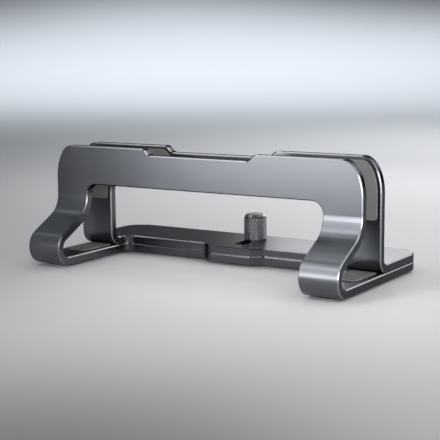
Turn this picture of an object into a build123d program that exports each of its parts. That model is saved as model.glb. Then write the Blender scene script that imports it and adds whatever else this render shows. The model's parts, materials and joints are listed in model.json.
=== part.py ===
from build123d import *
import math
import os

# Vertical laptop stand: two brackets folded from thick aluminium sheet, silicone pads and a thumbscrew.
# Millimetres. X runs along the stand, Y from its front to its back, Z up.
# The origin is on the floor, under the middle of the stand.

# Sheet
LENGTH = 205.6              # the stand, end to end
SHEET = 5.0                 # thickness of the sheet
EDGE_BEVEL = 0.6            # bevel along every cut edge of the sheet
STEP_SLOPE = 45.0           # slope of the notch's and the tab's ends, in degrees

# Upright plates, the same on both brackets
PLATE_HEIGHT = 69.7         # top edge above the underside of the lower base plate
PLATE_GAP = 18.4            # between the facing sides of the two plates
TOP_CORNER_WIDTH = 11.5     # top corners are quarter ellipses, taller than wide
TOP_CORNER_HEIGHT = 20.0
NOTCH_WIDTH = 70.4          # notch in the top edge, between the middles of its slopes
NOTCH_DEPTH = 3.8
NOTCH_RADIUS = 3.0
LEG_WIDTH = 23.2
WINDOW_HEIGHT = 46.7        # top of the window above the underside of the lower base plate
WINDOW_CORNER = 7.0

# Folds
FLARE_ANGLE = 28.0          # slope of the front legs below the horizontal, in degrees
FLARE_RADIUS = 14.0         # bend from the front plate to the legs, on the front face
NOSE_REACH = 27.8           # foremost point of the legs, in front of the front plate
NOSE_RADIUS = 10.5          # turn from the legs to the base, on the outer face
REAR_BEND = 3.6             # bend from the rear plate to its base, on the inner face

# Base plates, one on the other with the same outline
ARM_LENGTH = 10.8           # from the back of the rear plate to the front edge of the base
BASE_DEPTH = 40.8           # from that front edge to the back edge
ARM_FILLET = 6.4            # inner corners between the arms and the front edge
BACK_CORNER = 14.0          # radius of the back corners
TAB_WIDTH = 35.0            # tab in the front edge, between the middles of its slopes
TAB_REACH = 5.7
TAB_RADIUS = 4.0

# Thumbscrew
SCREW_SETBACK = 15.4        # screw axis in front of the back edge
SLIDE_TRAVEL = 17.0         # how far the rear bracket slides back
STUD_DIAMETER = 6.0
STUD_IN_KNOB = 9.0          # length of stud held in the knob
STUD_SHORT = 0.5            # end of the stud above the underside of the lower base plate
STUD_CHAMFER = 0.7
KNOB_DIAMETER = 14.0
KNOB_HEIGHT = 16.0
KNOB_TOP_CHAMFER = 1.5
KNOB_FOOT_CHAMFER = 0.8

# Silicone pads
LINER_THICKNESS = 1.2
LINER_INSET = 2.2           # plate edge left bare around a liner
LINER_CORNER = 2.0
REAR_LINER_END = 35.0       # lower ends of the rear liner above the underside of the lower base plate
FRONT_LINER_MARGIN = 1.0    # lower ends of the front liner above the start of the leg's bend
BASE_PAD_THICKNESS = 0.9
BASE_PAD_WIDTH = 15.2
BASE_PAD_START = 1.0        # front end of a base pad behind the front plate's front face
BASE_PAD_TUCK = 3.6         # how far a base pad reaches under the bend of the rear bracket
BASE_PAD_CORNER = 5.0
FOOT_THICKNESS = 1.2
FOOT_WIDTH = 16.0
FOOT_LENGTH = 26.0
FOOT_CORNER = 3.0
FOOT_FRONT_MARGIN = 2.0     # front feet behind the end of the nose's turn
FOOT_BACK_MARGIN = 8.0      # rear feet in front of the back edge

# Clearances
SLOT_CLEARANCE = 0.3        # around the stud in the slot of the upper base plate
THREAD_CLEARANCE = 0.05     # around the stud in the tapped hole and in the knob
BORE_END_CLEARANCE = 0.3    # above the stud's end in the knob
CUT_MARGIN = 2.0            # how far a cutting shape runs past the sheet

# Heights
BASE_UNDER = FOOT_THICKNESS
BASE_SEAM = BASE_UNDER + SHEET
BASE_TOP = BASE_SEAM + SHEET
TOP = BASE_UNDER + PLATE_HEIGHT
WINDOW_TOP = BASE_UNDER + WINDOW_HEIGHT

# Places from front to back
DEPTH = NOSE_REACH + SHEET + PLATE_GAP + SHEET + ARM_LENGTH + BASE_DEPTH
NOSE = -DEPTH / 2
FRONT_FACE = NOSE + NOSE_REACH
FRONT_INNER = FRONT_FACE + SHEET
REAR_INNER = FRONT_INNER + PLATE_GAP
REAR_BACK = REAR_INNER + SHEET
BASE_EDGE = REAR_BACK + ARM_LENGTH
BACK_EDGE = BASE_EDGE + BASE_DEPTH
SCREW = BACK_EDGE - SCREW_SETBACK

# Places along the stand
END = LENGTH / 2
WINDOW_SIDE = END - LEG_WIDTH
LEG_MIDDLE = END - LEG_WIDTH / 2


def rounded_face(corners, radii):
    """Face inside straight runs with rounded corners, closed by a line from the last point to the first."""
    edge = FilletPolyline(*corners, radius=radii)
    return make_face([edge, Line(edge @ 1, edge @ 0)])


def stepped_edge(level, drop, middle_width):
    """Corners of an edge that steps down over its middle."""
    half_run = drop / math.tan(math.radians(STEP_SLOPE)) / 2
    outer = middle_width / 2 + half_run
    inner = middle_width / 2 - half_run
    low = level - drop
    return [(-outer, level), (-inner, low), (inner, low), (outer, level)]


def along_y(face, front, back):
    """Solid of a front-view face, from one place to another towards the back."""
    return extrude(Plane.XZ.offset(-back) * face, back - front)


def along_z(face, low, high):
    """Solid of a plan-view face, from one height to another."""
    return extrude(Plane.XY.offset(low) * face, high - low)


def plate_outline(inset=0.0):
    """Front view of an upright plate and its legs without the window, drawn in by an inset."""
    end = END - inset
    top = TOP - inset
    width = TOP_CORNER_WIDTH - inset
    height = TOP_CORNER_HEIGHT - inset
    right = EllipticalCenterArc((end - width, top - height), width, height)
    left = EllipticalCenterArc((width - end, top - height), width, height, start_angle=90)
    spread = 2 * inset * math.tan(math.radians(STEP_SLOPE / 2))
    step = stepped_edge(top, NOTCH_DEPTH, NOTCH_WIDTH + spread)
    edge = FilletPolyline((width - end, top), *step, (end - width, top), radius=4 * [NOTCH_RADIUS])
    sides = Polyline((-end, top - height), (-end, 0), (end, 0), (end, top - height))
    return make_face([right, edge, left, sides])


def window_outline(inset=0.0):
    """Front view of the window between the legs, widened by an inset."""
    side = WINDOW_SIDE + inset
    top = WINDOW_TOP + inset
    corners = [(-side, 0), (-side, top), (side, top), (side, 0)]
    return rounded_face(corners, 2 * [WINDOW_CORNER + inset])


def base_opening(front):
    """Plan view of the opening between the arms, which ends at the base's front edge with its tab."""
    corners = [(-WINDOW_SIDE, front), (-WINDOW_SIDE, BASE_EDGE)]
    corners += stepped_edge(BASE_EDGE, TAB_REACH, TAB_WIDTH)
    corners += [(WINDOW_SIDE, BASE_EDGE), (WINDOW_SIDE, front)]
    return rounded_face(corners, [ARM_FILLET] + 4 * [TAB_RADIUS] + [ARM_FILLET])


def folded_sheet(corners, radii):
    """Sheet folded along a side profile, given on its outer face, and wider than the stand is long."""
    outer_face = FilletPolyline(*corners, radius=radii)
    section = make_face(offset(outer_face, SHEET, side=Side.LEFT))
    return extrude(Plane.YZ * section, END + CUT_MARGIN, both=True)


def sharp_edges(solid):
    """Edges where two faces of a solid meet at an angle: the rims of the cut sheet."""
    sides = {}
    for face in solid.faces():
        for edge in face.edges():
            sides.setdefault(edge, []).append(face.normal_at(edge @ 0.5))
    return [edge for edge, normals in sides.items() if normals[0].get_angle(normals[-1]) > 10]


def bracket(corners, radii, low, window_back):
    """Folded sheet cut to the plate's outline, the window and the base's outline."""
    sheet = folded_sheet(corners, radii)
    sheet = sheet & along_y(plate_outline(), NOSE - CUT_MARGIN, BACK_EDGE + CUT_MARGIN)
    sheet = sheet - along_y(window_outline(), NOSE - CUT_MARGIN, window_back)
    sheet = sheet - along_z(base_opening(NOSE), low - CUT_MARGIN, low + SHEET + CUT_MARGIN)
    back_corners = sheet.edges().filter_by(Axis.Z).group_by(Axis.Y)[-1]
    return fillet(back_corners, BACK_CORNER)


def front_profile():
    """Side profile of the front bracket on its outer face, with sharp corners: plate, leg and base."""
    slope = math.radians(FLARE_ANGLE)
    nose_middle = NOSE + NOSE_RADIUS
    touch_y = nose_middle - NOSE_RADIUS * math.sin(slope)
    touch_z = BASE_UNDER + NOSE_RADIUS * (1 + math.cos(slope))
    knee_z = touch_z + (FRONT_FACE - touch_y) * math.tan(slope)
    tip_y = nose_middle - NOSE_RADIUS / math.tan(slope / 2)
    return [(FRONT_FACE, TOP), (FRONT_FACE, knee_z), (tip_y, BASE_UNDER), (BACK_EDGE, BASE_UNDER)]


def bend_start():
    """Height at which the front plate starts to bend into the legs."""
    knee_z = front_profile()[1][1]
    turn = math.radians(90 - FLARE_ANGLE)
    return knee_z + FLARE_RADIUS * math.tan(turn / 2)


def front_bracket():
    """Front plate, flared legs, nose and lower base plate, with the tapped hole for the stud."""
    sheet = bracket(front_profile(), [FLARE_RADIUS, NOSE_RADIUS], BASE_UNDER, REAR_INNER)
    hole = Pos(0, SCREW) * Circle(STUD_DIAMETER / 2 + THREAD_CLEARANCE)
    sheet = sheet - along_z(hole, BASE_UNDER - CUT_MARGIN, BASE_SEAM + CUT_MARGIN)
    return chamfer(sharp_edges(sheet), EDGE_BEVEL)


def rear_bracket():
    """Rear plate and upper base plate, with the adjusting slot."""
    profile = [(REAR_INNER, TOP), (REAR_INNER, BASE_SEAM), (BACK_EDGE, BASE_SEAM)]
    sheet = bracket(profile, [REAR_BEND + SHEET], BASE_SEAM, BASE_EDGE - ARM_FILLET)
    slot_width = STUD_DIAMETER + 2 * SLOT_CLEARANCE
    slot = Pos(0, SCREW - SLIDE_TRAVEL / 2) * Rot(0, 0, 90) * SlotCenterToCenter(SLIDE_TRAVEL, slot_width)
    sheet = sheet - along_z(slot, BASE_SEAM - CUT_MARGIN, BASE_TOP + CUT_MARGIN)
    return chamfer(sharp_edges(sheet), EDGE_BEVEL)


def liner(front, back, lower_end):
    """Silicone pad on a plate's inner side: the plate's outline drawn in, down to its lower ends."""
    pad = plate_outline(LINER_INSET) - window_outline(LINER_INSET)
    pad = pad & Pos(0, lower_end + TOP / 2) * Rectangle(LENGTH, TOP)
    corners = pad.vertices().group_by(Axis.Y)[0]
    sides = [edge.length for edge in pad.edges() if edge.vertices().sort_by(Axis.Y)[0] in corners]
    pad = fillet(corners, min(LINER_CORNER, min(sides) / 2))
    return along_y(pad, front, back)


def base_pad(middle):
    """Thin pad on the lower base plate inside a leg, rounded at its front and tucked under the rear bend."""
    front = FRONT_FACE + BASE_PAD_START
    back = REAR_INNER + BASE_PAD_TUCK
    side = BASE_PAD_WIDTH / 2
    corners = [(-side, back), (-side, front), (side, front), (side, back)]
    pad = Pos(middle, 0) * rounded_face(corners, 2 * [BASE_PAD_CORNER])
    return along_z(pad, BASE_SEAM, BASE_SEAM + BASE_PAD_THICKNESS)


def foot_pad(middle_x, middle_y):
    """Foot under the lower base plate."""
    pad = Pos(middle_x, middle_y) * RectangleRounded(FOOT_WIDTH, FOOT_LENGTH, FOOT_CORNER)
    return along_z(pad, 0, FOOT_THICKNESS)


def thumbscrew_knob():
    """Turned head with chamfered ends and a blind bore for the stud."""
    outside = KNOB_DIAMETER / 2
    knob = Cylinder(outside, KNOB_HEIGHT, align=(Align.CENTER, Align.CENTER, Align.MIN))
    rims = knob.edges().filter_by(GeomType.CIRCLE).sort_by(Axis.Z)
    knob = chamfer(rims[-1], KNOB_TOP_CHAMFER)
    knob = chamfer(knob.edges().filter_by(GeomType.CIRCLE).sort_by(Axis.Z)[0], KNOB_FOOT_CHAMFER)
    bore = Circle(STUD_DIAMETER / 2 + THREAD_CLEARANCE)
    knob = knob - along_z(bore, 0, STUD_IN_KNOB + BORE_END_CLEARANCE)
    return Pos(0, SCREW, BASE_TOP) * knob


def thumbscrew_stud():
    """Stud from inside the knob, through the slot, into the tapped hole."""
    low = BASE_UNDER + STUD_SHORT
    stud = along_z(Pos(0, SCREW) * Circle(STUD_DIAMETER / 2), low, BASE_TOP + STUD_IN_KNOB)
    return chamfer(stud.edges().filter_by(GeomType.CIRCLE), STUD_CHAMFER)


def pieces():
    """Every piece of the stand by name."""
    foot_front = NOSE + NOSE_RADIUS + FOOT_FRONT_MARGIN + FOOT_LENGTH / 2
    foot_rear = BACK_EDGE - FOOT_BACK_MARGIN - FOOT_LENGTH / 2
    made = {
        "front_bracket": front_bracket(),
        "rear_bracket": rear_bracket(),
        "front_liner": liner(FRONT_INNER, FRONT_INNER + LINER_THICKNESS, bend_start() + FRONT_LINER_MARGIN),
        "rear_liner": liner(REAR_INNER - LINER_THICKNESS, REAR_INNER, BASE_UNDER + REAR_LINER_END),
        "thumbscrew_knob": thumbscrew_knob(),
        "thumbscrew_stud": thumbscrew_stud(),
    }
    for side, middle in (("left", -LEG_MIDDLE), ("right", LEG_MIDDLE)):
        made["base_pad_" + side] = base_pad(middle)
        made["foot_pad_front_" + side] = foot_pad(middle, foot_front)
        made["foot_pad_rear_" + side] = foot_pad(middle, foot_rear)
    return made


os.makedirs("parts", exist_ok=True)
for name, solid in pieces().items():
    export_step(solid, "parts/" + name + ".step")
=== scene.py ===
import json
import math

import bmesh
import bpy
from bpy.props import FloatProperty, FloatVectorProperty, IntProperty, PointerProperty
from mathutils import Matrix, Vector


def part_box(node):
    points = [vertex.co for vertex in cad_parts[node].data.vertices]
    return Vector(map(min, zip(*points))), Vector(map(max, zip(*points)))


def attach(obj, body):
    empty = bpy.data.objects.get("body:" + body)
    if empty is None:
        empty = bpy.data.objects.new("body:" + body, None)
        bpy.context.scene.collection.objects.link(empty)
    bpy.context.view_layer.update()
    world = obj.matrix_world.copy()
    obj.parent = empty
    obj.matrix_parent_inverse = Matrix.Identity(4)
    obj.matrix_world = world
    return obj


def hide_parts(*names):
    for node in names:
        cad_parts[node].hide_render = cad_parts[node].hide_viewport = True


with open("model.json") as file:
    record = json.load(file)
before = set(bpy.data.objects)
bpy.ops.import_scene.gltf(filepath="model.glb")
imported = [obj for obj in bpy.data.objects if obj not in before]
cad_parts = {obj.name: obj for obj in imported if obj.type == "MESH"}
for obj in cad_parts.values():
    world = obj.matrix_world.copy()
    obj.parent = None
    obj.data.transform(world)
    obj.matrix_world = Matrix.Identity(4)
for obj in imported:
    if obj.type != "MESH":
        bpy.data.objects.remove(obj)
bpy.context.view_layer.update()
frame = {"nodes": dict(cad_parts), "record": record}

bl_info = {
    "name": "Vertical laptop stand",
    "version": (1, 0, 0),
    "blender": (4, 5, 0),
    "location": "3D View > Sidebar > Laptop stand",
    "description": "Dresses the folded brackets, silicone pads and thumbscrew of a vertical laptop stand",
    "category": "Object",
}

# The CAD frame. Lengths are in metres, X runs along the stand, Y from its front to its back, Z up.
NODES = frame["nodes"]
BRACKETS = ("front_bracket", "rear_bracket")
LINERS = ("front_liner", "rear_liner")
BASE_PADS = ("base_pad_left", "base_pad_right")
FEET = ("foot_pad_front_left", "foot_pad_front_right", "foot_pad_rear_left", "foot_pad_rear_right")
BODY_OF = {node: body for body, nodes in frame["record"]["behaviour"]["bodies"].items() for node in nodes}

KNOB_LOW, KNOB_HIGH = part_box("thumbscrew_knob")
STUD_LOW, STUD_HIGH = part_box("thumbscrew_stud")
KNOB_RADIUS = (KNOB_HIGH.x - KNOB_LOW.x) / 2
STUD_RADIUS = (STUD_HIGH.x - STUD_LOW.x) / 2
SCREW_AXIS = Vector(((KNOB_LOW.x + KNOB_HIGH.x) / 2, (KNOB_LOW.y + KNOB_HIGH.y) / 2, 0.0))
HAIR = 1e-6                 # less than any real step in the shapes

# Parts of the brackets, told apart by place
PLATE_FOOT = 0.0413         # the upright plates end here, above the legs' bends
BASE_START = 0.006          # the flat base starts here, behind the rear bend
BASE_TOP = KNOB_LOW.z

# Parts of the sheet, told apart by how far the surface leans from a face (1) to a cut rim (0)
RIM_LIMIT = 0.5
CHAMFER_LEAN = math.sqrt(0.5)
CHAMFER_TOLERANCE = 0.12
UNDERSIDE = -0.3            # a normal that points further down than this is on an underside; the plates' chamfers there get painted shade

# Brackets' finish
DYE_SPREAD = 0.06           # how far the patches go from the dye's colour
BLAST_SPREAD = 0.04         # and from the sheet's roughness
BLAST_DEPTH = 0.000012
BLAST_STRENGTH = 0.06
WHITE = (1.0, 1.0, 1.0, 1.0)
GLANCING_TINT = (0.1, 0.1, 0.1, 1.0)    # what cut rims send back at glancing angles
CHAMFER_GLANCE = 0.6        # share of that tint on the chamfers
BASE_RIM_RELIEF = 0.45      # share of it that the base's rims do without

# Knob's finish
KNOB_PATCH = 0.0009
KNOB_SPREAD = 0.10
KNOB_ROUGHNESS = (0.26, 0.36)
KNURL_BAND = 1.2            # depth of the knurled band, as a share of the knurl's depth
PAINTED_LIGHT_REACH = 0.9            # depth over which the painted shade in the grooves turns into the painted highlight on the crests, as a share of the knurl's depth
GROOVE_SHADE = 0.45         # painted shade in the grooves and painted highlight on the crests, as shares of the knob's colour
CREST_HIGHLIGHT = 3.0

# Stud's finish
ZINC_COLOUR = (0.56, 0.565, 0.57)
ZINC_PATCH = 0.0012
ZINC_SPREAD = 0.10
ZINC_ROUGHNESS = (0.26, 0.42)

# Silicone's finish
SKIN_GRAIN = 0.00022
SKIN_DEPTH = 0.00002
SKIN_STRENGTH = 0.4
SILICONE_PATCH = 0.007
SILICONE_SPREAD = 0.10
SILICONE_ROUGHNESS = (0.58, 0.72)
SILICONE_SPECULAR = 0.35

# Floor's finish
FLOOR_PATCH = 0.15
FLOOR_SPREAD = 0.015
FLOOR_ROUGHNESS = 0.85
FLOOR_SPECULAR = 0.15

# Meshes; angles in degrees
FLAT_ANGLE = 0.5            # faces that meet at less are made one
MOULD_RIM_ANGLE = 60        # edges sharper than this are rounded on the silicone pieces
PAD_SHARP = 40              # edges sharper than this stay sharp in the shading
KNOB_SHARP = 20
STUD_SHARP = 25
ROUND_STEPS = 96            # facets around the knob and the floor
KNOB_EDGE = 0.00012         # small bevel at the ends of the knob's top chamfer
KNURL_SINK = 0.00004        # how deep the diamonds' feet sit in the knob's body

# Thread
TURN_STEPS = 32             # facets around the stud
PITCH_STEPS = 8             # facets along one pitch
CREST_END = 0.12            # where the flank starts and ends, from the crest's middle at 0 to the root's at 1
ROOT_START = 0.75
EXTRA_PITCHES = 3.0         # length of the wound sheet beyond the stud, in pitches
LEAD_PITCHES = 2.0          # how many of these lie before the stud's start
CLOSING_PITCHES = 0.9       # length over which the sheet closes to the axis at the ends
THREAD_MERGE = 0.00001


class BracketSettings(bpy.types.PropertyGroup):
    """Finish of the folded aluminium sheets."""

    colour: FloatVectorProperty(
        name="Anodised colour", description="Colour of the dyed, anodised sheet", subtype="COLOR", size=3,
        min=0.0, max=1.0, default=(0.138, 0.145, 0.160))
    roughness: FloatProperty(
        name="Roughness", description="Roughness of the bead-blasted face", subtype="FACTOR",
        min=0.0, max=1.0, default=0.31)
    rim_colour: FloatVectorProperty(
        name="Rim colour", description="Colour of the sheet's cut rims", subtype="COLOR", size=3,
        min=0.0, max=1.0, default=(0.16, 0.167, 0.18))
    # Painted shade: the base plates' rims, low by the floor, are coloured darker in place of the shaded floor
    # that they reflect
    painted_base_rim_shade: FloatVectorProperty(
        name="Base rim colour", description="Colour of the base plates' upright rims", subtype="COLOR",
        size=3, min=0.0, max=1.0, default=(0.09, 0.094, 0.104))
    rim_roughness: FloatProperty(
        name="Rim roughness", description="Roughness of the milled rims", subtype="FACTOR",
        min=0.0, max=1.0, default=0.25)
    chamfer_colour: FloatVectorProperty(
        name="Chamfer colour", description="Colour of the bright-cut chamfers along the sheet's rims",
        subtype="COLOR", size=3, min=0.0, max=1.0, default=(0.25, 0.257, 0.27))
    # Painted shade: the plates' chamfers that face down are coloured near black in place of the shaded floor
    # and base that they reflect
    painted_under_chamfer_shade: FloatVectorProperty(
        name="Under-chamfer colour", description="Colour of the chamfers that face down on the plates",
        subtype="COLOR", size=3, min=0.0, max=1.0, default=(0.02, 0.021, 0.023))
    chamfer_roughness: FloatProperty(
        name="Chamfer roughness", description="Roughness of the bright-cut chamfers", subtype="FACTOR",
        min=0.0, max=1.0, default=0.22)
    blast_grain: FloatProperty(
        name="Blast grain", description="Size of the dimples left by the bead blasting", unit="LENGTH",
        min=0.00002, max=0.002, precision=5, default=0.00016)
    mottle: FloatProperty(
        name="Dye mottle", description="Size of the faint patches in the dye", unit="LENGTH",
        min=0.001, max=0.1, precision=4, default=0.018)


class PadSettings(bpy.types.PropertyGroup):
    """Silicone liners, base pads and feet."""

    pad_colour: FloatVectorProperty(
        name="Pad colour", description="Colour of the liners and base pads", subtype="COLOR", size=3,
        min=0.0, max=1.0, default=(0.215, 0.213, 0.212))
    foot_colour: FloatVectorProperty(
        name="Foot colour", description="Colour of the feet", subtype="COLOR", size=3,
        min=0.0, max=1.0, default=(0.022, 0.022, 0.024))
    edge_radius: FloatProperty(
        name="Edge radius", description="Rounding of the moulded edges", unit="LENGTH",
        min=0.00005, max=0.0006, precision=5, default=0.00035)
    edge_steps: IntProperty(
        name="Edge steps", description="Facets across a rounded edge", min=1, max=8, default=3)


class ThumbscrewSettings(bpy.types.PropertyGroup):
    """Knurl of the knob and thread of the stud."""

    knob_colour: FloatVectorProperty(
        name="Knob colour", description="Colour of the anodised knob", subtype="COLOR", size=3,
        min=0.0, max=1.0, default=(0.235, 0.238, 0.25))
    knurl_columns: IntProperty(
        name="Knurl columns", description="Diamonds around the knob", min=8, max=80, default=24)
    knurl_rows: IntProperty(
        name="Knurl rows", description="Staggered rows of diamonds", min=2, max=60, default=16)
    knurl_depth: FloatProperty(
        name="Knurl depth", description="Height of a diamond above its grooves", unit="LENGTH",
        min=0.00005, max=0.001, precision=5, default=0.00038)
    knurl_crest: FloatProperty(
        name="Knurl crest", description="Width of a diamond's flat crest as a share of its foot",
        subtype="FACTOR", min=0.0, max=0.9, default=0.22)
    knurl_start: FloatProperty(
        name="Knurl start", description="Lower end of the knurl above the knob's foot", unit="LENGTH",
        min=0.0, max=0.01, precision=4, default=0.0003)
    knurl_end: FloatProperty(
        name="Knurl end", description="Upper end of the knurl below the knob's top", unit="LENGTH",
        min=0.0, max=0.01, precision=4, default=0.0018)
    top_chamfer: FloatProperty(
        name="Top chamfer", description="Chamfer around the knob's top", unit="LENGTH",
        min=0.0001, max=0.004, precision=4, default=0.0015)
    foot_chamfer: FloatProperty(
        name="Foot chamfer", description="Chamfer around the knob's foot", unit="LENGTH",
        min=0.0001, max=0.003, precision=4, default=0.0005)
    bore_depth: FloatProperty(
        name="Bore depth", description="Depth of the bore that holds the stud", unit="LENGTH",
        min=0.001, max=0.015, precision=4, default=0.0093)
    bore_clearance: FloatProperty(
        name="Bore clearance", description="Gap around the stud in its bore", unit="LENGTH",
        min=0.00001, max=0.0005, precision=5, default=0.00005)
    thread_pitch: FloatProperty(
        name="Thread pitch", description="Advance of the thread in one turn", unit="LENGTH",
        min=0.0003, max=0.003, precision=4, default=0.001)
    thread_depth: FloatProperty(
        name="Thread depth", description="Height of the thread above its root", unit="LENGTH",
        min=0.0001, max=0.001, precision=5, default=0.00058)
    stud_chamfer: FloatProperty(
        name="Stud chamfer", description="Chamfer at the stud's ends", unit="LENGTH",
        min=0.0001, max=0.002, precision=4, default=0.0007)


class StageSettings(bpy.types.PropertyGroup):
    """Floor and camera."""

    floor_colour: FloatVectorProperty(
        name="Floor colour", description="Colour of the floor and backdrop", subtype="COLOR", size=3,
        min=0.0, max=1.0, default=(0.68, 0.685, 0.698))
    floor_radius: FloatProperty(
        name="Floor radius", description="Radius of the level part of the floor", unit="LENGTH",
        min=0.3, max=10.0, default=1.6)
    camera_azimuth: FloatProperty(
        name="Camera azimuth", description="Turn of the camera to the right of the front", subtype="ANGLE",
        default=math.radians(32.42))
    camera_elevation: FloatProperty(
        name="Camera elevation", description="Camera above the horizon", subtype="ANGLE",
        default=math.radians(8.87))
    camera_roll: FloatProperty(
        name="Camera roll", description="Turn of the camera about its own axis", subtype="ANGLE",
        default=math.radians(-0.5))
    camera_distance: FloatProperty(
        name="Camera distance", description="From the camera to the point it looks at", unit="LENGTH",
        default=0.6683)
    camera_target: FloatVectorProperty(
        name="Camera target", description="Point that the camera looks at", subtype="TRANSLATION", size=3,
        unit="LENGTH", precision=4, default=(0.00218, -0.0056, 0.02947))
    camera_lens: FloatProperty(
        name="Camera lens", description="Focal length on a 36 mm sensor, in millimetres", default=94.0)


class StandSettings(bpy.types.PropertyGroup):
    """Everything that can be set on the stand."""

    brackets: PointerProperty(type=BracketSettings)
    pads: PointerProperty(type=PadSettings)
    thumbscrew: PointerProperty(type=ThumbscrewSettings)
    stage: PointerProperty(type=StageSettings)


# Nodes of materials and of geometry

def node(tree, kind, inputs=None, **attributes):
    """New node with its attributes set, and its inputs given values or joined to sockets."""
    made = tree.nodes.new(kind)
    for name, value in attributes.items():
        setattr(made, name, value)
    for key, value in (inputs or {}).items():
        if isinstance(value, bpy.types.NodeSocket):
            tree.links.new(value, made.inputs[key])
        else:
            made.inputs[key].default_value = value
    return made


def maths(tree, operation, first, second=0.0, third=0.0):
    """Socket with a calculation on numbers or sockets."""
    return node(tree, "ShaderNodeMath", {0: first, 1: second, 2: third}, operation=operation).outputs[0]


def vector_maths(tree, operation, first, second=(0.0, 0.0, 0.0)):
    """Socket with a calculation on vectors or sockets."""
    made = node(tree, "ShaderNodeVectorMath", {0: first, 1: second}, operation=operation)
    return made.outputs["Vector"]


def split(tree, vector):
    """Sockets X, Y and Z of a vector."""
    return node(tree, "ShaderNodeSeparateXYZ", {"Vector": vector}).outputs


def choose(tree, factor, first, second):
    """Socket with the first number where a factor is 0 and the second where it is 1."""
    made = node(tree, "ShaderNodeMix", {"Factor": factor, 2: first, 3: second}, data_type="FLOAT")
    return made.outputs[0]


def mixed(tree, factor, first, second):
    """Socket with the first colour where a factor is 0 and the second where it is 1."""
    made = node(tree, "ShaderNodeMix", {"Factor": factor, "A": first, "B": second}, data_type="RGBA")
    return made.outputs["Result"]


def between(tree, factor, low, high):
    """Socket with a number that goes from low to high with a factor."""
    made = node(tree, "ShaderNodeMapRange", {"Value": factor, "To Min": low, "To Max": high})
    return made.outputs["Result"]


# Materials

def new_material(name):
    """Empty node material with a Principled shader: the material, its tree and the shader's inputs."""
    material = bpy.data.materials.new(name)
    material.use_nodes = True
    tree = material.node_tree
    tree.nodes.clear()
    shader = node(tree, "ShaderNodeBsdfPrincipled")
    node(tree, "ShaderNodeOutputMaterial", {"Surface": shader.outputs["BSDF"]})
    return material, tree, shader.inputs


def object_place(tree):
    """Socket with the point on the object."""
    return node(tree, "ShaderNodeTexCoord").outputs["Object"]


def noise(tree, place, size, detail=2.0):
    """Socket with a noise whose lumps have about this size in metres."""
    made = node(tree, "ShaderNodeTexNoise", {"Vector": place, "Scale": 1.0 / size, "Detail": detail})
    return made.outputs["Fac"]


def bump(tree, height, distance, strength):
    """Socket with a normal that is pushed by a height."""
    made = node(tree, "ShaderNodeBump", {"Height": height, "Distance": distance, "Strength": strength})
    return made.outputs["Normal"]


def shade_of(colour, share):
    """A colour made darker or lighter, with its alpha."""
    return (*[min(channel * share, 1.0) for channel in colour], 1.0)


def tinted(tree, factor, colour, spread):
    """Socket with a colour that is darker and lighter by a share as a factor goes from 0 to 1."""
    return mixed(tree, factor, shade_of(colour, 1 - spread), shade_of(colour, 1 + spread))


def painted(tree, factor, under, colour):
    """Socket with a colour laid over another socket's by a factor."""
    return mixed(tree, factor, under, (*colour, 1.0))


def sheet_parts(tree):
    """Sockets that are 1 on some parts of the sheet.

    These are the cut rims, the base's rims, the chamfers, and the plates' chamfers that face down; the base's
    rims and the downward chamfers carry painted shade.
    """
    coordinates = node(tree, "ShaderNodeTexCoord").outputs
    place = split(tree, coordinates["Object"])
    facing = split(tree, coordinates["Normal"])
    lean = split(tree, vector_maths(tree, "ABSOLUTE", coordinates["Normal"]))
    against_x = maths(tree, "MULTIPLY", lean["X"], -1.0)
    on_legs = maths(tree, "SQRT", maths(tree, "MULTIPLY_ADD", lean["X"], against_x, 1.0))
    plates = maths(tree, "GREATER_THAN", place["Z"], PLATE_FOOT)
    low = maths(tree, "LESS_THAN", place["Z"], BASE_TOP + HAIR)
    behind = maths(tree, "GREATER_THAN", place["Y"], BASE_START)
    base = maths(tree, "MULTIPLY", low, behind)
    share = choose(tree, base, choose(tree, plates, on_legs, lean["Y"]), lean["Z"])
    rim = maths(tree, "LESS_THAN", share, RIM_LIMIT)
    # painted shade mask: the base's rims
    shaded_base_rim = maths(tree, "MULTIPLY", rim, base)
    chamfer = maths(tree, "COMPARE", share, CHAMFER_LEAN, CHAMFER_TOLERANCE)
    # painted shade mask: the plates' chamfers that face down
    under = maths(tree, "MULTIPLY", plates, maths(tree, "LESS_THAN", facing["Z"], UNDERSIDE))
    return rim, shaded_base_rim, chamfer, maths(tree, "MULTIPLY", chamfer, under)


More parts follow.
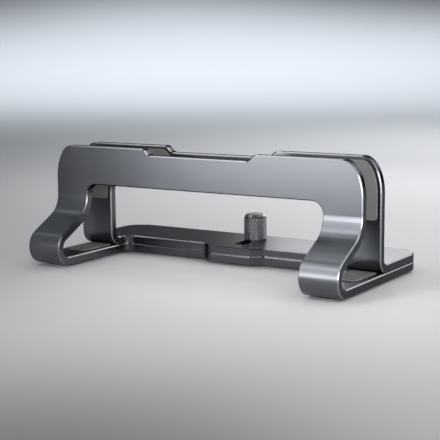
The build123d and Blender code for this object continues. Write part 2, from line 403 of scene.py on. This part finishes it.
def anodised_aluminium(settings):
    """Bead-blasted, dyed aluminium: fine dimples, faint patches, darker cut rims, bright-cut chamfers;
    painted shade on the base's rims and the plates' downward chamfers.
    """
    material, tree, shader = new_material("anodised_aluminium")
    place = object_place(tree)
    grain = noise(tree, place, settings.blast_grain)
    patches = noise(tree, place, settings.mottle, detail=3.0)
    rim, shaded_base_rim, chamfer, shaded_under_chamfer = sheet_parts(tree)
    colour = tinted(tree, patches, settings.colour, DYE_SPREAD)
    colour = painted(tree, rim, colour, settings.rim_colour)
    # painted shade on the base's rims
    colour = painted(tree, shaded_base_rim, colour, settings.painted_base_rim_shade)
    colour = painted(tree, chamfer, colour, settings.chamfer_colour)
    # painted shade on the plates' chamfers that face down
    colour = painted(tree, shaded_under_chamfer, colour, settings.painted_under_chamfer_shade)
    edge = maths(tree, "MULTIPLY_ADD", shaded_base_rim, -BASE_RIM_RELIEF, rim)
    edge = maths(tree, "MULTIPLY_ADD", chamfer, CHAMFER_GLANCE, edge)
    rough = between(tree, patches, settings.roughness - BLAST_SPREAD, settings.roughness + BLAST_SPREAD)
    rough = choose(tree, rim, rough, settings.rim_roughness)
    rough = choose(tree, chamfer, rough, settings.chamfer_roughness)
    blasted = choose(tree, chamfer, choose(tree, rim, BLAST_STRENGTH, 0.0), 0.0)
    shader["Metallic"].default_value = 1.0
    tree.links.new(colour, shader["Base Color"])
    tree.links.new(mixed(tree, edge, WHITE, GLANCING_TINT), shader["Specular Tint"])
    tree.links.new(rough, shader["Roughness"])
    tree.links.new(bump(tree, grain, BLAST_DEPTH, blasted), shader["Normal"])
    return material


def knob_aluminium(settings):
    """Turned, knurled and anodised aluminium: painted shade in the grooves and a painted highlight on the
    crests.
    """
    material, tree, shader = new_material("knob_aluminium")
    place = object_place(tree)
    patches = noise(tree, place, KNOB_PATCH, detail=3.0)
    across = vector_maths(tree, "SUBTRACT", place, SCREW_AXIS)
    across = vector_maths(tree, "MULTIPLY", across, (1.0, 1.0, 0.0))
    radius = node(tree, "ShaderNodeVectorMath", {0: across}, operation="LENGTH").outputs["Value"]
    # painted shade deep in the knurl, turning into a painted highlight on its crests
    shade_to_highlight = node(tree, "ShaderNodeMapRange", {
        "Value": radius, "From Min": KNOB_RADIUS - settings.knurl_depth * PAINTED_LIGHT_REACH,
        "From Max": KNOB_RADIUS}).outputs["Result"]
    knurled = maths(tree, "GREATER_THAN", radius, KNOB_RADIUS - settings.knurl_depth * KNURL_BAND)
    plain = tinted(tree, patches, settings.knob_colour, KNOB_SPREAD)
    # painted shade colour for the grooves and painted highlight colour for the crests
    painted_groove_shade = shade_of(settings.knob_colour, GROOVE_SHADE)
    crest = shade_of(settings.knob_colour, CREST_HIGHLIGHT)
    shader["Metallic"].default_value = 1.0
    tree.links.new(mixed(tree, knurled, plain, mixed(tree, shade_to_highlight, painted_groove_shade, crest)), shader["Base Color"])
    tree.links.new(between(tree, patches, *KNOB_ROUGHNESS), shader["Roughness"])
    return material


def zinc_steel():
    """Zinc-plated steel of the stud."""
    material, tree, shader = new_material("zinc_steel")
    patches = noise(tree, object_place(tree), ZINC_PATCH, detail=4.0)
    shader["Metallic"].default_value = 1.0
    tree.links.new(tinted(tree, patches, ZINC_COLOUR, ZINC_SPREAD), shader["Base Color"])
    tree.links.new(between(tree, patches, *ZINC_ROUGHNESS), shader["Roughness"])
    return material


def matt_silicone(name, colour):
    """Moulded silicone: a fine matt skin with faint dust-like patches."""
    material, tree, shader = new_material(name)
    place = object_place(tree)
    skin = noise(tree, place, SKIN_GRAIN, detail=3.0)
    patches = noise(tree, place, SILICONE_PATCH, detail=4.0)
    shader["Specular IOR Level"].default_value = SILICONE_SPECULAR
    tree.links.new(tinted(tree, patches, colour, SILICONE_SPREAD), shader["Base Color"])
    tree.links.new(between(tree, patches, *SILICONE_ROUGHNESS), shader["Roughness"])
    tree.links.new(bump(tree, skin, SKIN_DEPTH, SKIN_STRENGTH), shader["Normal"])
    return material


def painted_floor(colour):
    """Plain pale floor with a very faint unevenness."""
    material, tree, shader = new_material("painted_floor")
    patches = noise(tree, object_place(tree), FLOOR_PATCH)
    shader["Roughness"].default_value = FLOOR_ROUGHNESS
    shader["Specular IOR Level"].default_value = FLOOR_SPECULAR
    tree.links.new(tinted(tree, patches, colour, FLOOR_SPREAD), shader["Base Color"])
    return material


# Meshes

def new_piece(name, mesh, material=None):
    """Object with a mesh, and with a material if the mesh does not bring its own."""
    piece = bpy.data.objects.new(name, mesh)
    bpy.context.scene.collection.objects.link(piece)
    if material is not None:
        mesh.materials.clear()
        mesh.materials.append(material)
    return piece


def seat_piece(piece, cad_node):
    """Puts a piece on the body of the CAD node that it stands for."""
    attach(piece, BODY_OF[cad_node])
    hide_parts(cad_node)


def shade(mesh, sharp_angle):
    """Smooth shading that breaks at edges sharper than an angle in degrees."""
    mesh.shade_smooth()
    mesh.set_sharp_from_angle(angle=math.radians(sharp_angle))


def finished_mesh(name, shell):
    """Mesh from a bmesh, which is freed."""
    mesh = bpy.data.meshes.new(name)
    shell.to_mesh(mesh)
    shell.free()
    return mesh


def rounded_copy(cad_node, radius, steps):
    """Mesh of a CAD node with its rims rounded."""
    shell = bmesh.new()
    shell.from_mesh(NODES[cad_node].data)
    bmesh.ops.remove_doubles(shell, verts=shell.verts, dist=HAIR)
    bmesh.ops.dissolve_limit(
        shell, angle_limit=math.radians(FLAT_ANGLE), verts=shell.verts, edges=shell.edges)
    rims = [edge for edge in shell.edges if edge.calc_face_angle(0.0) > math.radians(MOULD_RIM_ANGLE)]
    bmesh.ops.bevel(shell, geom=rims, offset=radius, offset_type="OFFSET", segments=steps, profile=0.5,
                    affect="EDGES", clamp_overlap=True)
    bmesh.ops.remove_doubles(shell, verts=shell.verts, dist=HAIR)
    return finished_mesh(cad_node + "_rounded", shell)


def mould(names, material, settings):
    """Rounded pieces in place of some CAD nodes."""
    for name in names:
        mesh = rounded_copy(name, settings.edge_radius, settings.edge_steps)
        shade(mesh, PAD_SHARP)
        seat_piece(new_piece(name + "_moulded", mesh, material), name)


def lathe(name, profile, axis):
    """Mesh turned about an upright axis from a profile of radius and height; a radius of 0 is one point."""
    shell = bmesh.new()
    rings = []
    for radius, height in profile:
        count = ROUND_STEPS if radius > 0 else 1
        angles = [2 * math.pi * k / ROUND_STEPS for k in range(count)]
        ring = [shell.verts.new((axis.x + radius * math.cos(a), axis.y + radius * math.sin(a), height))
                for a in angles]
        rings.append(ring)
    for low, high in zip(rings, rings[1:]):
        for k in range(ROUND_STEPS):
            after = (k + 1) % ROUND_STEPS
            corners = [low[k % len(low)], low[after % len(low)],
                       high[after % len(high)], high[k % len(high)]]
            shell.faces.new(list(dict.fromkeys(corners)))
    bmesh.ops.recalc_face_normals(shell, faces=shell.faces)
    return finished_mesh(name, shell)


# Geometry node trees

def new_tree(name, sockets):
    """Geometry node tree with a geometry in and out and named inputs: the tree, its inputs and its output."""
    tree = bpy.data.node_groups.new(name, "GeometryNodeTree")
    tree.is_modifier = True
    tree.interface.new_socket("Geometry", in_out="INPUT", socket_type="NodeSocketGeometry")
    tree.interface.new_socket("Geometry", in_out="OUTPUT", socket_type="NodeSocketGeometry")
    for label, kind in sockets.items():
        tree.interface.new_socket(label, in_out="INPUT", socket_type="NodeSocket" + kind)
    return tree, node(tree, "NodeGroupInput").outputs, node(tree, "NodeGroupOutput").inputs


def on_cylinder(tree, axis, radius, angle, height):
    """Socket with the point at a radius, an angle and a height about an upright axis."""
    x = maths(tree, "MULTIPLY", radius, maths(tree, "COSINE", angle))
    y = maths(tree, "MULTIPLY", radius, maths(tree, "SINE", angle))
    point = node(tree, "ShaderNodeCombineXYZ", {"X": x, "Y": y, "Z": height}).outputs["Vector"]
    return vector_maths(tree, "ADD", point, axis)


def finish_tree(tree, geometry, inputs, output):
    """Ends a tree in real geometry with its material."""
    real = node(tree, "GeometryNodeRealizeInstances", {"Geometry": geometry}).outputs["Geometry"]
    dressed = node(tree, "GeometryNodeSetMaterial", {"Geometry": real, "Material": inputs["Material"]})
    tree.links.new(dressed.outputs["Geometry"], output["Geometry"])


def knurl_tree():
    """Staggered rows of diamonds around an upright axis, added to the turned body."""
    tree, inputs, output = new_tree("diamond_knurl", {
        "Axis": "Vector", "Root Radius": "Float", "Depth": "Float", "Crest": "Float", "Columns": "Int",
        "Rows": "Int", "Foot": "Float", "Height": "Float", "Material": "Material"})
    index = node(tree, "GeometryNodeInputIndex").outputs["Index"]
    row = maths(tree, "FLOOR", maths(tree, "DIVIDE", index, inputs["Columns"]))
    stagger = maths(tree, "MULTIPLY", maths(tree, "MODULO", row, 2.0), 0.5)
    column = maths(tree, "ADD", maths(tree, "MODULO", index, inputs["Columns"]), stagger)
    step_round = maths(tree, "DIVIDE", 2 * math.pi, inputs["Columns"])
    step_up = maths(tree, "DIVIDE", inputs["Height"], maths(tree, "ADD", inputs["Rows"], 1.0))
    angle = maths(tree, "MULTIPLY", column, step_round)
    height = maths(tree, "MULTIPLY_ADD", maths(tree, "ADD", row, 1.0), step_up, inputs["Foot"])
    points = node(tree, "GeometryNodePoints", {
        "Count": maths(tree, "MULTIPLY", inputs["Columns"], inputs["Rows"]),
        "Position": on_cylinder(tree, inputs["Axis"], inputs["Root Radius"], angle, height)})
    cone = node(tree, "GeometryNodeMeshCone", {
        "Vertices": 4, "Side Segments": 1, "Fill Segments": 1, "Radius Top": inputs["Crest"],
        "Radius Bottom": 1.0, "Depth": 1.0}, fill_type="NGON")
    diamond = node(tree, "GeometryNodeTransform", {
        "Geometry": cone.outputs["Mesh"], "Rotation": (0.0, math.pi / 2, 0.0)}).outputs["Geometry"]
    facing = node(tree, "ShaderNodeCombineXYZ", {"Z": angle}).outputs["Vector"]
    facing = node(tree, "FunctionNodeEulerToRotation", {"Euler": facing}).outputs["Rotation"]
    half_width = maths(tree, "MULTIPLY", maths(tree, "MULTIPLY", step_round, 0.5), inputs["Root Radius"])
    size = node(tree, "ShaderNodeCombineXYZ", {"X": inputs["Depth"], "Y": half_width, "Z": step_up})
    diamonds = node(tree, "GeometryNodeInstanceOnPoints", {
        "Points": points.outputs["Points"], "Instance": diamond, "Rotation": facing,
        "Scale": size.outputs["Vector"]}).outputs["Instances"]
    both = node(tree, "GeometryNodeJoinGeometry")
    tree.links.new(inputs["Geometry"], both.inputs["Geometry"])
    tree.links.new(diamonds, both.inputs["Geometry"])
    finish_tree(tree, both.outputs["Geometry"], inputs, output)
    return tree


def thread_tree():
    """Stud with a screw thread: a sheet wound round the axis along the helix, closed at both ends."""
    tree, inputs, output = new_tree("screw_thread", {
        "Axis": "Vector", "Root Radius": "Float", "Depth": "Float", "Pitch": "Float", "Start": "Float",
        "End": "Float", "Chamfer": "Float", "Turn Steps": "Int", "Pitch Steps": "Int",
        "Material": "Material"})
    pitch = inputs["Pitch"]
    # A flat grid, whose X is one turn and whose Y counts rows along the stud
    row_step = maths(tree, "DIVIDE", pitch, inputs["Pitch Steps"])
    length = maths(tree, "SUBTRACT", inputs["End"], inputs["Start"])
    span = maths(tree, "MULTIPLY_ADD", pitch, EXTRA_PITCHES, length)
    rows = maths(tree, "CEIL", maths(tree, "DIVIDE", span, row_step))
    sheet = node(tree, "GeometryNodeMeshGrid", {
        "Size X": 1.0, "Size Y": 1.0, "Vertices X": maths(tree, "ADD", inputs["Turn Steps"], 1.0),
        "Vertices Y": maths(tree, "ADD", rows, 1.0)}).outputs["Mesh"]
    flat = split(tree, node(tree, "GeometryNodeInputPosition").outputs[0])
    turn = maths(tree, "ADD", flat["X"], 0.5)
    row = maths(tree, "ROUND", maths(tree, "MULTIPLY", maths(tree, "ADD", flat["Y"], 0.5), rows))
    # Place along the stud, which climbs one pitch per turn
    along = maths(tree, "MULTIPLY_ADD", row, row_step, maths(tree, "MULTIPLY", turn, pitch))
    along = maths(tree, "SUBTRACT", along, maths(tree, "MULTIPLY", pitch, LEAD_PITCHES))
    inside = maths(tree, "MINIMUM", maths(tree, "MAXIMUM", along, 0.0), length)
    past_end = maths(tree, "ABSOLUTE", maths(tree, "SUBTRACT", along, inside))
    # Radius from the thread's ridge, cut by the end chamfers and closed past the ends
    wave = maths(tree, "FRACT", maths(tree, "DIVIDE", row, inputs["Pitch Steps"]))
    wave = maths(tree, "ABSOLUTE", maths(tree, "MULTIPLY_ADD", wave, 2.0, -1.0))
    ridge = node(tree, "ShaderNodeMapRange", {
        "Value": wave, "From Min": CREST_END, "From Max": ROOT_START, "To Min": inputs["Depth"],
        "To Max": 0.0})
    radius = maths(tree, "ADD", inputs["Root Radius"], ridge.outputs["Result"])
    to_end = maths(tree, "MINIMUM", inside, maths(tree, "SUBTRACT", length, inside))
    crest = maths(tree, "ADD", inputs["Root Radius"], inputs["Depth"])
    end_radius = maths(tree, "SUBTRACT", crest, inputs["Chamfer"])
    radius = maths(tree, "MINIMUM", radius, maths(tree, "ADD", end_radius, to_end))
    closing = maths(tree, "DIVIDE", past_end, maths(tree, "MULTIPLY", pitch, CLOSING_PITCHES))
    open_share = maths(tree, "MAXIMUM", maths(tree, "SUBTRACT", 1.0, closing), 0.0)
    radius = maths(tree, "MULTIPLY", radius, open_share)
    angle = maths(tree, "MULTIPLY", turn, 2 * math.pi)
    height = maths(tree, "ADD", inside, inputs["Start"])
    wound = node(tree, "GeometryNodeSetPosition", {
        "Geometry": sheet, "Position": on_cylinder(tree, inputs["Axis"], radius, angle, height)})
    closed = node(tree, "GeometryNodeMergeByDistance", {
        "Geometry": wound.outputs["Geometry"], "Distance": THREAD_MERGE})
    finish_tree(tree, closed.outputs["Geometry"], inputs, output)
    return tree


def grown(name, mesh, tree, values):
    """Plain mesh that a geometry node tree makes from a mesh."""
    seed = bpy.data.objects.new(name + "_seed", mesh)
    bpy.context.scene.collection.objects.link(seed)
    modifier = seed.modifiers.new(name, "NODES")
    modifier.node_group = tree
    names = {item.name: item.identifier for item in tree.interface.items_tree if item.in_out == "INPUT"}
    for label, value in values.items():
        modifier[names[label]] = value
    evaluated = seed.evaluated_get(bpy.context.evaluated_depsgraph_get())
    made = bpy.data.meshes.new_from_object(evaluated)
    made.name = name
    seed.modifiers.remove(modifier)
    bpy.data.objects.remove(seed)
    return made


# Operators

class FinishBrackets(bpy.types.Operator):
    """Gives the folded brackets their anodised finish"""

    bl_idname = "laptop_stand.finish_brackets"
    bl_label = "Finish brackets"

    def execute(self, context):
        material = anodised_aluminium(context.scene.laptop_stand.brackets)
        for name in BRACKETS:
            for slot in NODES[name].material_slots:
                slot.material = material
        return {"FINISHED"}


class MakePads(bpy.types.Operator):
    """Makes the silicone liners and base pads with rounded edges"""

    bl_idname = "laptop_stand.make_pads"
    bl_label = "Make liners and base pads"

    def execute(self, context):
        settings = context.scene.laptop_stand.pads
        mould(LINERS + BASE_PADS, matt_silicone("pad_silicone", settings.pad_colour), settings)
        return {"FINISHED"}


class MakeFeet(bpy.types.Operator):
    """Makes the silicone feet with rounded edges"""

    bl_idname = "laptop_stand.make_feet"
    bl_label = "Make feet"

    def execute(self, context):
        settings = context.scene.laptop_stand.pads
        mould(FEET, matt_silicone("foot_silicone", settings.foot_colour), settings)
        return {"FINISHED"}


class MakeKnob(bpy.types.Operator):
    """Turns the knob and cuts its diamond knurl"""

    bl_idname = "laptop_stand.make_knob"
    bl_label = "Make knurled knob"

    def execute(self, context):
        settings = context.scene.laptop_stand.thumbscrew
        root = KNOB_RADIUS - settings.knurl_depth
        bore = STUD_RADIUS + settings.bore_clearance
        foot, top = KNOB_LOW.z, KNOB_HIGH.z
        foot_drop = settings.foot_chamfer - settings.knurl_depth
        top_drop = settings.top_chamfer - settings.knurl_depth
        profile = [
            (0.0, foot + settings.bore_depth),
            (bore, foot + settings.bore_depth),
            (bore, foot),
            (KNOB_RADIUS - settings.foot_chamfer, foot),
            (root, foot + foot_drop),
            (root, top - top_drop - KNOB_EDGE),
            (root - KNOB_EDGE, top - top_drop),
            (KNOB_RADIUS - settings.top_chamfer, top - KNOB_EDGE),
            (KNOB_RADIUS - settings.top_chamfer - KNOB_EDGE, top),
            (0.0, top),
        ]
        body = lathe("knob_body", profile, SCREW_AXIS)
        shade(body, KNOB_SHARP)
        mesh = grown("knurled_knob", body, knurl_tree(), {
            "Axis": SCREW_AXIS, "Root Radius": root - KNURL_SINK,
            "Depth": settings.knurl_depth + KNURL_SINK, "Crest": settings.knurl_crest,
            "Columns": settings.knurl_columns, "Rows": settings.knurl_rows,
            "Foot": foot + settings.knurl_start,
            "Height": top - foot - settings.knurl_start - settings.knurl_end,
            "Material": knob_aluminium(settings)})
        seat_piece(new_piece("knurled_knob", mesh), "thumbscrew_knob")
        return {"FINISHED"}


class MakeStud(bpy.types.Operator):
    """Winds the thread of the stud"""

    bl_idname = "laptop_stand.make_stud"
    bl_label = "Make threaded stud"

    def execute(self, context):
        settings = context.scene.laptop_stand.thumbscrew
        mesh = grown("threaded_stud", bpy.data.meshes.new("stud_seed"), thread_tree(), {
            "Axis": SCREW_AXIS, "Root Radius": STUD_RADIUS - settings.thread_depth,
            "Depth": settings.thread_depth, "Pitch": settings.thread_pitch, "Start": STUD_LOW.z,
            "End": STUD_HIGH.z, "Chamfer": settings.stud_chamfer, "Turn Steps": TURN_STEPS,
            "Pitch Steps": PITCH_STEPS, "Material": zinc_steel()})
        shade(mesh, STUD_SHARP)
        seat_piece(new_piece("threaded_stud", mesh), "thumbscrew_stud")
        return {"FINISHED"}


# Stage

FLOOR_INNER = 0.25          # ring inside the level floor, as a share of its radius
BACKDROP_RUN = 2.6          # width of the rising rim around the level floor
BACKDROP_RISE = 0.33        # height of that rim
BACKDROP_STEPS = 12
WORLD_COLOUR = (0.62, 0.65, 0.70, 1.0)
WORLD_STRENGTH = 0.03
SENSOR_WIDTH = 36.0         # millimetres

NEUTRAL = (1.0, 1.0, 1.0)
COOL = (0.86, 0.93, 1.0)
STAND_MIDDLE = Vector((0.0, 0.0, 0.03))
RIGHT_LEG = Vector((0.09, -0.04, 0.025))
FLOOR_LAMP_SPREAD = 80      # degrees

# Lamps on the stand: azimuth and elevation in degrees, distance, width and height in metres, power in
# watts, spread in degrees, colour
LAMPS = (
    ("lamp_front_low", -16, 6.4, 0.40, 0.26, 0.10, 0.115, 60, NEUTRAL),
    ("lamp_front_right", 26, 56, 0.58, 0.15, 0.15, 0.026, 60, NEUTRAL),
    ("lamp_right_low", 57, 10, 0.38, 0.20, 0.19, 0.13, 70, NEUTRAL),
    ("lamp_right_mid", 54, 42, 0.60, 0.35, 0.36, 0.05, 60, NEUTRAL),
    ("lamp_right_side", 99, 29, 0.70, 0.45, 0.40, 1.15, 180, NEUTRAL),
    ("lamp_left_side", -106, 40, 0.65, 0.35, 0.30, 0.02, 80, COOL),
    ("lamp_left_far", -45, 40, 2.0, 1.6, 1.6, 3.2, 180, COOL),
    ("lamp_back", -168, 21, 0.70, 0.39, 0.28, 0.28, 90, NEUTRAL),
    ("lamp_back_right", 165, 28, 1.2, 0.56, 0.56, 2.4, 180, NEUTRAL),
)

# Lamps on the right leg, with the same values
LEG_LAMPS = (
    ("lamp_leg_low", -30, 27, 0.40, 0.13, 0.17, 0.021, 50, NEUTRAL),
    ("lamp_leg_high", -43, 49, 0.45, 0.20, 0.16, 0.037, 50, NEUTRAL),
    ("lamp_leg_top", -79, 58, 1.2, 0.18, 0.50, 0.034, 30, NEUTRAL),
    ("lamp_leg_back", -126, 60, 0.50, 0.18, 0.18, 0.015, 50, NEUTRAL),
)

# Lamps on the floor: azimuth in degrees, distance, height and size in metres, power in watts, colour
FLOOR_LAMPS = (
    ("lamp_floor_left", -148, 2.6, 1.7, 2.4, 26, COOL),
    ("lamp_floor_back", 178, 0.6, 0.6, 0.9, 1.6, NEUTRAL),
    ("lamp_floor_far", 150, 2.0, 1.5, 1.6, 6, NEUTRAL),
)


def backdrop_mesh(radius):
    """Level floor that rises gently all round, past the view's upper edge."""
    profile = [(0.0, 0.0), (radius * FLOOR_INNER, 0.0), (radius, 0.0)]
    for step in range(1, BACKDROP_STEPS + 1):
        share = step / BACKDROP_STEPS
        profile.append((radius + BACKDROP_RUN * share, BACKDROP_RISE * share ** 2))
    mesh = lathe("backdrop", profile, Vector((0.0, 0.0, 0.0)))
    mesh.flip_normals()     # the lathe turns the faces out of the bowl, and the floor is seen from inside
    mesh.shade_smooth()
    return mesh


def towards(azimuth, elevation):
    """Direction from the stand, with the azimuth counted from the front to the right, in radians."""
    level = math.cos(elevation)
    return Vector((math.sin(azimuth) * level, -math.cos(azimuth) * level, math.sin(elevation)))


def area_lamp(name, place, width, height, power, spread, colour):
    """Rectangular soft lamp that faces down, hidden from the camera."""
    lamp = bpy.data.lights.new(name, "AREA")
    lamp.shape = "RECTANGLE"
    lamp.size, lamp.size_y = width, height
    lamp.energy = power
    lamp.spread = math.radians(spread)
    lamp.color = colour
    holder = bpy.data.objects.new(name, lamp)
    holder.location = place
    holder.visible_camera = False
    bpy.context.scene.collection.objects.link(holder)
    return holder


def soft_lamp(aim, name, azimuth, elevation, distance, width, height, power, spread, colour):
    """Soft lamp that faces a point of the stand."""
    away = towards(math.radians(azimuth), math.radians(elevation))
    holder = area_lamp(name, aim + away * distance, width, height, power, spread, colour)
    holder.rotation_mode = "QUATERNION"
    holder.rotation_quaternion = away.to_track_quat("Z", "Y")


def floor_lamp(name, azimuth, distance, height, size, power, colour):
    """Soft lamp that hangs beside the stand and lights the floor under it."""
    place = towards(math.radians(azimuth), 0.0) * distance + Vector((0.0, 0.0, height))
    area_lamp(name, place, size, size, power, FLOOR_LAMP_SPREAD, colour)


class MakeStage(bpy.types.Operator):
    """Sets up the floor, the soft lamps and the camera"""

    bl_idname = "laptop_stand.make_stage"
    bl_label = "Make stage"

    def execute(self, context):
        settings = context.scene.laptop_stand.stage
        floor = new_piece(
            "backdrop", backdrop_mesh(settings.floor_radius), painted_floor(settings.floor_colour))
        for row in LAMPS:
            soft_lamp(STAND_MIDDLE, *row)
        for row in LEG_LAMPS:
            soft_lamp(RIGHT_LEG, *row)
        for row in FLOOR_LAMPS:
            floor_lamp(*row)
        self.light_world(context)
        self.place_camera(context, settings)
        context.scene.view_settings.view_transform = "Standard"
        return {"FINISHED"}

    def light_world(self, context):
        """Even, dim light from all round."""
        world = bpy.data.worlds.new("studio")
        world.use_nodes = True
        background = world.node_tree.nodes["Background"]
        background.inputs["Color"].default_value = WORLD_COLOUR
        background.inputs["Strength"].default_value = WORLD_STRENGTH
        context.scene.world = world

    def place_camera(self, context, settings):
        """Camera at the photograph's angle."""
        back = towards(settings.camera_azimuth, settings.camera_elevation)
        roll = settings.camera_roll
        level = back.cross(Vector((0.0, 0.0, -1.0))).normalized()
        upright = back.cross(level)
        right = level * math.cos(roll) + upright * math.sin(roll)
        up = upright * math.cos(roll) - level * math.sin(roll)
        camera = bpy.data.objects.new("camera", bpy.data.cameras.new("camera"))
        camera.data.lens = settings.camera_lens
        camera.data.sensor_width = SENSOR_WIDTH
        place = Vector(settings.camera_target) + back * settings.camera_distance
        turned = Matrix((right, up, back)).transposed().to_4x4()
        camera.matrix_world = Matrix.Translation(place) @ turned
        context.scene.collection.objects.link(camera)
        context.scene.camera = camera


OPERATORS = (FinishBrackets, MakePads, MakeFeet, MakeKnob, MakeStud, MakeStage)


class StandPanel(bpy.types.Panel):
    """Sizes, finishes and steps of the laptop stand"""

    bl_idname = "VIEW3D_PT_laptop_stand"
    bl_label = "Laptop stand"
    bl_space_type = "VIEW_3D"
    bl_region_type = "UI"
    bl_category = "Laptop stand"

    def draw(self, context):
        settings = context.scene.laptop_stand
        for group in (settings.brackets, settings.pads, settings.thumbscrew, settings.stage):
            box = self.layout.box()
            for name in group.bl_rna.properties.keys():
                if name not in ("rna_type", "name"):
                    box.prop(group, name)
        for operator in OPERATORS:
            self.layout.operator(operator.bl_idname)


SETTINGS = (BracketSettings, PadSettings, ThumbscrewSettings, StageSettings, StandSettings)
CLASSES = (*SETTINGS, *OPERATORS, StandPanel)


def register():
    for cls in CLASSES:
        bpy.utils.register_class(cls)
    bpy.types.Scene.laptop_stand = PointerProperty(type=StandSettings)


def unregister():
    del bpy.types.Scene.laptop_stand
    for cls in reversed(CLASSES):
        bpy.utils.unregister_class(cls)


def main():
    register()
    bpy.ops.laptop_stand.finish_brackets()
    bpy.ops.laptop_stand.make_pads()
    bpy.ops.laptop_stand.make_feet()
    bpy.ops.laptop_stand.make_knob()
    bpy.ops.laptop_stand.make_stud()
    bpy.ops.laptop_stand.make_stage()


if __name__ == "__main__":
    main()
